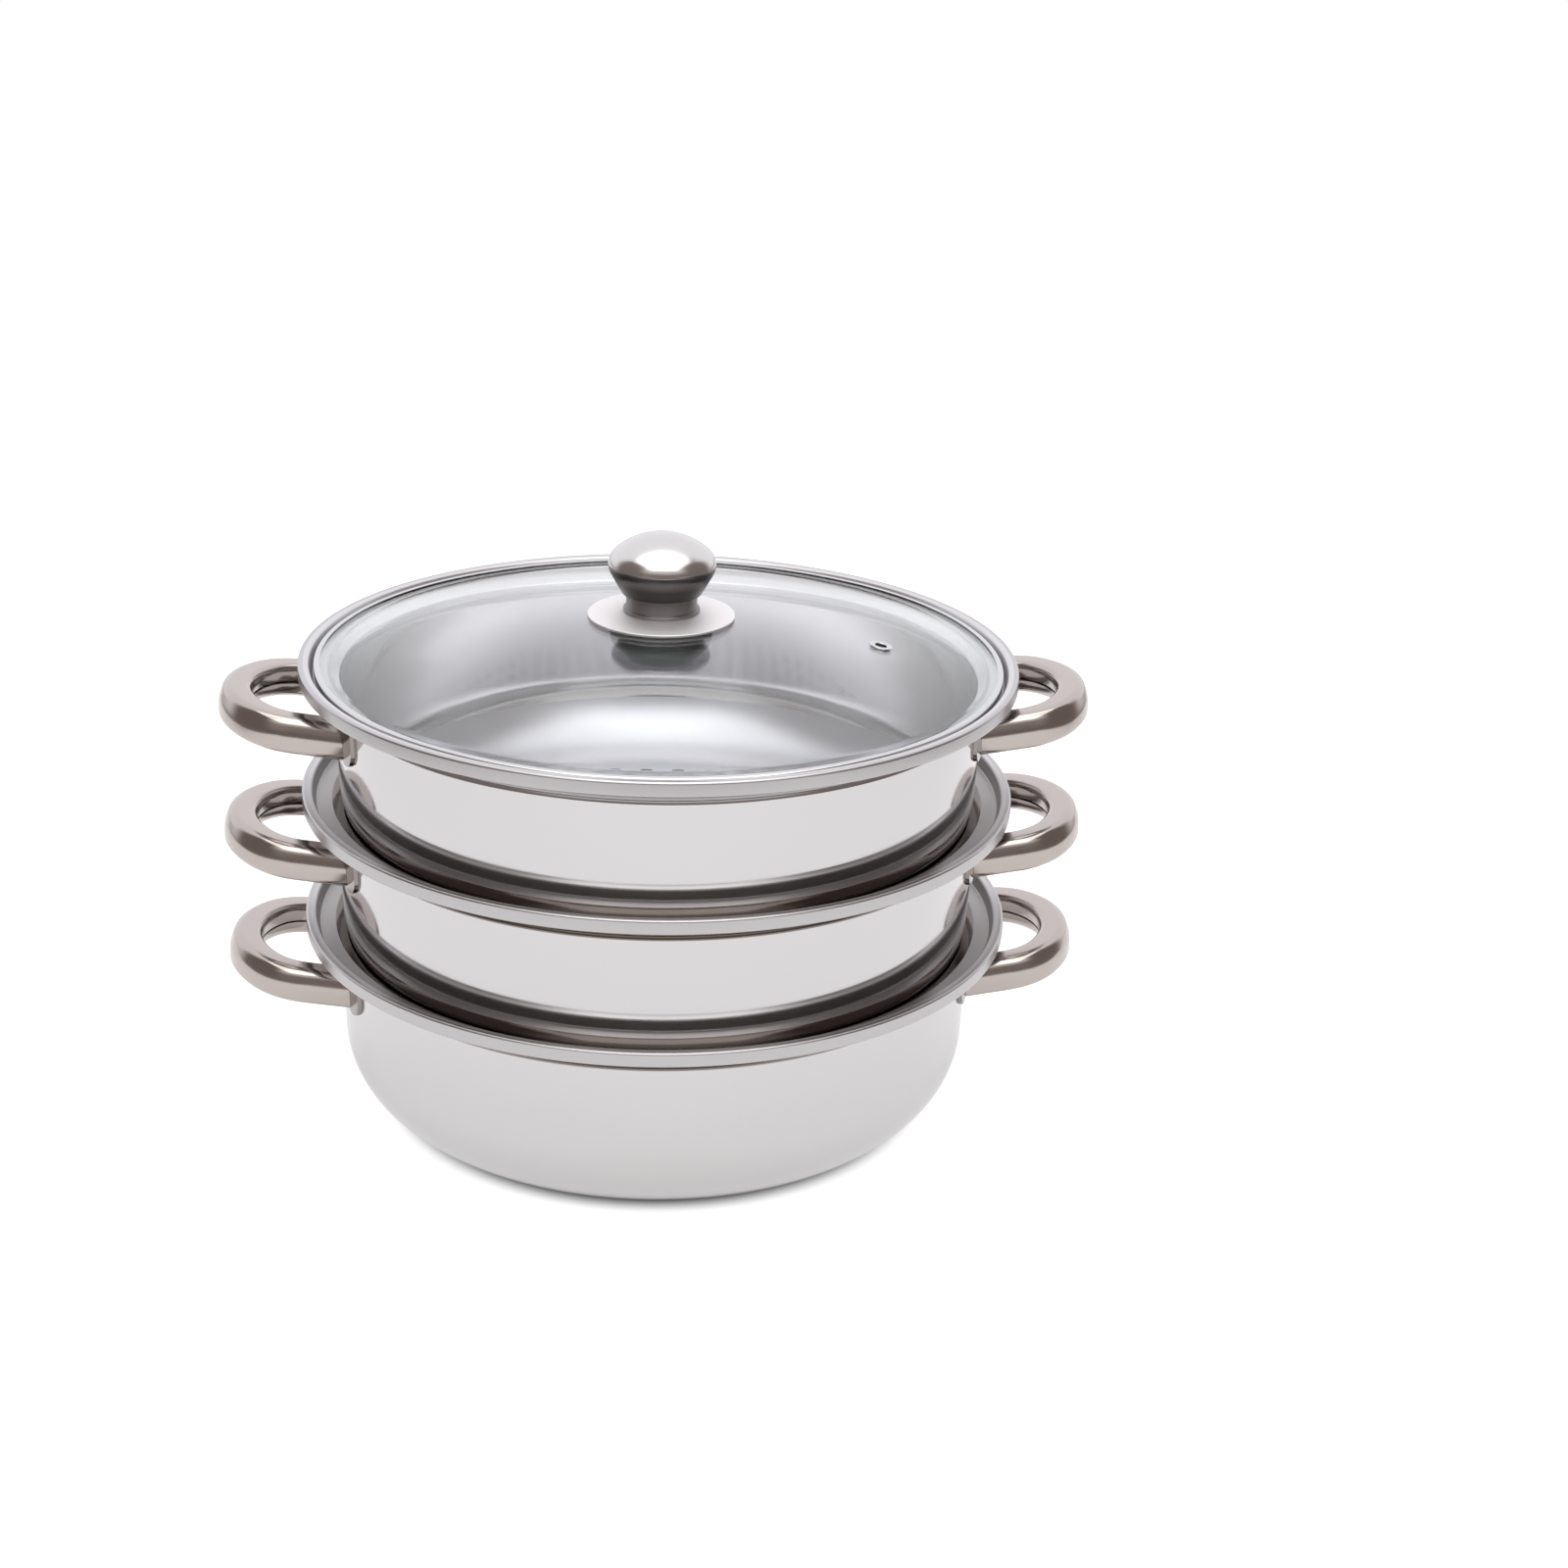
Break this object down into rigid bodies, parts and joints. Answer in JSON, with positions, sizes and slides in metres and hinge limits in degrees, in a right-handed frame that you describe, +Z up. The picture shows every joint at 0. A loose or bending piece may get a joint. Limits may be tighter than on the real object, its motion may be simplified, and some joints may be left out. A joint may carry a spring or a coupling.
{
  "type": "food steamer",
  "caption": "Stacking stovetop food steamer: a steel pot carries nested steaming bowls with perforated bases, looped side handles, and a domed glass lid with a knob and steam vent.",
  "frame": {"origin": "centre of the pot's underside, on the surface it stands on", "axes": "+Z up; the handles lie along X; the front of the set faces -Y"},
  "size_m": [0.3678, 0.3, 0.2513],
  "materials": {
    "polished_steel": "mirror-polished stainless steel, pressed",
    "satin_steel": "satin-polished stainless steel, hollow pressed",
    "bracket_steel": "pickled stainless steel, welded",
    "trim_steel": "bright rolled stainless steel",
    "knob_steel": "mirror-polished stainless steel, turned",
    "screw_steel": "plain stainless steel",
    "glass": "clear tempered glass",
    "silicone": "translucent silicone"
  },
  "bodies": {
    "pot": {"base_pot": "polished_steel", "pot_right_handle": "satin_steel", "pot_right_front_bracket": "bracket_steel", "pot_right_rear_bracket": "bracket_steel", "pot_left_handle": "satin_steel", "pot_left_front_bracket": "bracket_steel", "pot_left_rear_bracket": "bracket_steel"},
    "lower_tier": {"lower_steamer": "polished_steel", "lower_right_handle": "satin_steel", "lower_right_front_bracket": "bracket_steel", "lower_right_rear_bracket": "bracket_steel", "lower_left_handle": "satin_steel", "lower_left_front_bracket": "bracket_steel", "lower_left_rear_bracket": "bracket_steel"},
    "upper_tier": {"upper_steamer": "polished_steel", "upper_right_handle": "satin_steel", "upper_right_front_bracket": "bracket_steel", "upper_right_rear_bracket": "bracket_steel", "upper_left_handle": "satin_steel", "upper_left_front_bracket": "bracket_steel", "upper_left_rear_bracket": "bracket_steel"},
    "lid": {"lid_glass": "glass", "lid_rim": "trim_steel", "vent_eyelet": "trim_steel", "upper_seal_washer": "silicone", "knob_base_disc": "knob_steel", "knob_collar": "knob_steel", "knob": "knob_steel", "lower_seal_washer": "silicone", "under_lid_cup": "trim_steel", "knob_screw": "screw_steel"}
  },
  "joints": [
    {"name": "lower_tier_lift", "type": "slide", "parent": "pot", "child": "lower_tier", "axis": [0, 0, 1], "range_m": [0, 0.06]},
    {"name": "upper_tier_lift", "type": "slide", "parent": "lower_tier", "child": "upper_tier", "axis": [0, 0, 1], "range_m": [0, 0.06]},
    {"name": "lid_lift", "type": "slide", "parent": "upper_tier", "child": "lid", "axis": [0, 0, 1], "range_m": [0, 0.05]}
  ]
}
